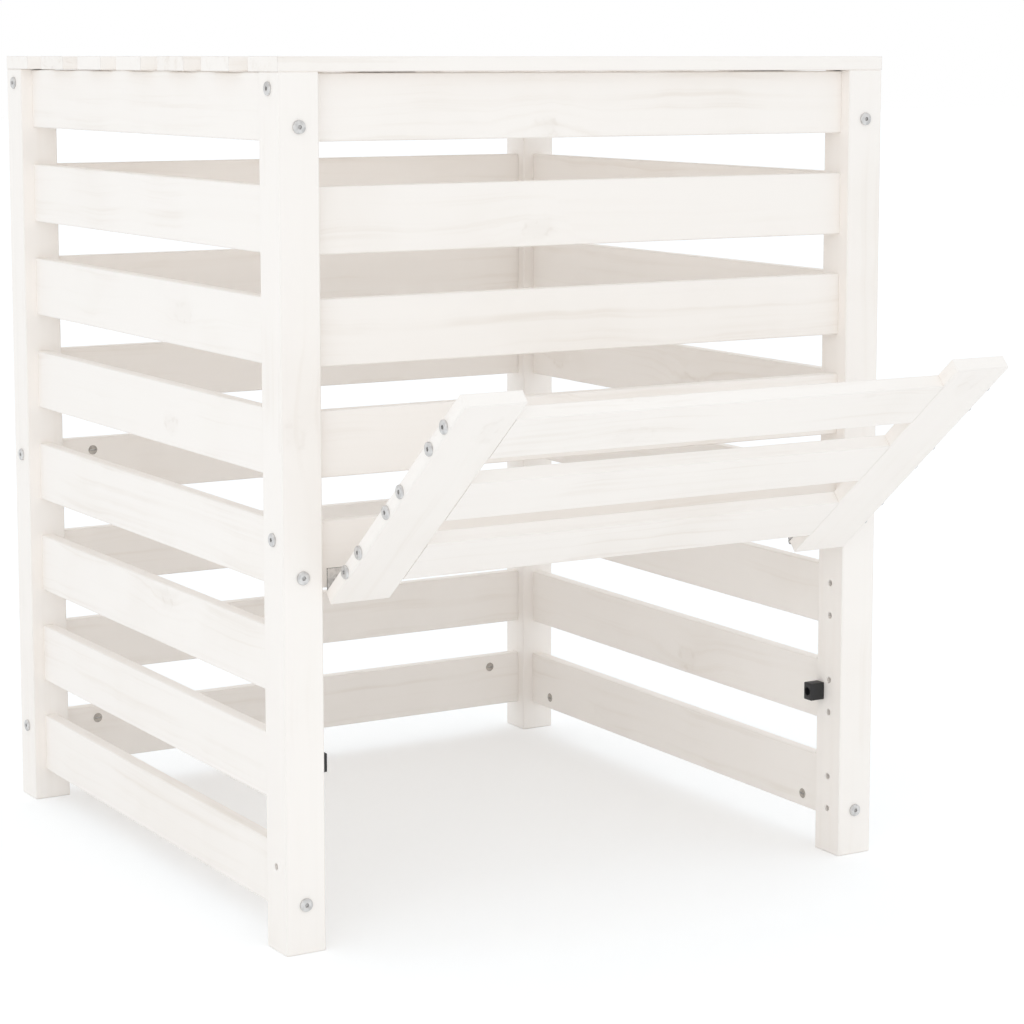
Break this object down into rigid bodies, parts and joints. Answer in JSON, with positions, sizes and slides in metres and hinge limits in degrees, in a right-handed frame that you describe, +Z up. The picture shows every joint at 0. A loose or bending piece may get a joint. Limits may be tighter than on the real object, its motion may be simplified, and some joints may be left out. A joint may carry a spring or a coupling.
{
  "type": "compost bin",
  "caption": "Square slatted wooden compost bin on corner posts, open below, with a hinged slatted lid and a hinged slatted flap low at the front for taking compost out.",
  "frame": {"origin": "on the floor, in the middle of the four posts", "axes": "+X to the right seen from the front, +Y from the flap to the back, +Z up"},
  "size_m": [0.639, 0.879, 0.775],
  "materials": {
    "painted_pine": "matt off-white paint",
    "zinc_steel": "zinc plated",
    "hinge_steel": "zinc plated",
    "black_plastic": "moulded"
  },
  "bodies": {
    "frame": {"barrel_nuts": "zinc_steel", "connector_bolts": "zinc_steel", "flap_hinge_frame_leaves": "hinge_steel", "flap_hinge_pins": "hinge_steel", "front_slat_1": "painted_pine", "front_slat_2": "painted_pine", "front_slat_3": "painted_pine", "front_slat_4": "painted_pine", "front_slat_5": "painted_pine", "left_slat_1": "painted_pine", "left_slat_2": "painted_pine", "left_slat_3": "painted_pine", "left_slat_4": "painted_pine", "left_slat_5": "painted_pine", "left_slat_6": "painted_pine", "left_slat_7": "painted_pine", "left_slat_8": "painted_pine", "lid_hinge_frame_leaves": "hinge_steel", "lid_hinge_pins": "hinge_steel", "post_front_left": "painted_pine", "post_front_right": "painted_pine", "post_rear_left": "painted_pine", "post_rear_right": "painted_pine", "rear_slat_1": "painted_pine", "rear_slat_2": "painted_pine", "rear_slat_3": "painted_pine", "rear_slat_4": "painted_pine", "rear_slat_5": "painted_pine", "rear_slat_6": "painted_pine", "rear_slat_7": "painted_pine", "rear_slat_8": "painted_pine", "right_slat_1": "painted_pine", "right_slat_2": "painted_pine", "right_slat_3": "painted_pine", "right_slat_4": "painted_pine", "right_slat_5": "painted_pine", "right_slat_6": "painted_pine", "right_slat_7": "painted_pine", "right_slat_8": "painted_pine", "stop_blocks": "black_plastic"},
    "flap": {"flap_slat_1": "painted_pine", "flap_slat_2": "painted_pine", "flap_slat_3": "painted_pine", "flap_stile_left": "painted_pine", "flap_stile_right": "painted_pine", "flap_stile_screws": "zinc_steel", "flap_hinge_flap_leaves": "hinge_steel"},
    "lid": {"lid_batten_left": "painted_pine", "lid_batten_right": "painted_pine", "lid_slat_1": "painted_pine", "lid_slat_2": "painted_pine", "lid_slat_3": "painted_pine", "lid_slat_4": "painted_pine", "lid_slat_5": "painted_pine", "lid_slat_6": "painted_pine", "lid_slat_7": "painted_pine", "lid_hinge_lid_leaves": "hinge_steel"}
  },
  "joints": [
    {"name": "flap_hinge", "type": "hinge", "parent": "frame", "child": "flap", "pos_m": [0, -0.3077, 0.315], "axis": [-1, 0, 0], "range_deg": [-130, 50]},
    {"name": "lid_hinge", "type": "hinge", "parent": "frame", "child": "lid", "pos_m": [0, 0.3202, 0.762], "axis": [-1, 0, 0], "range_deg": [0, 190]}
  ]
}
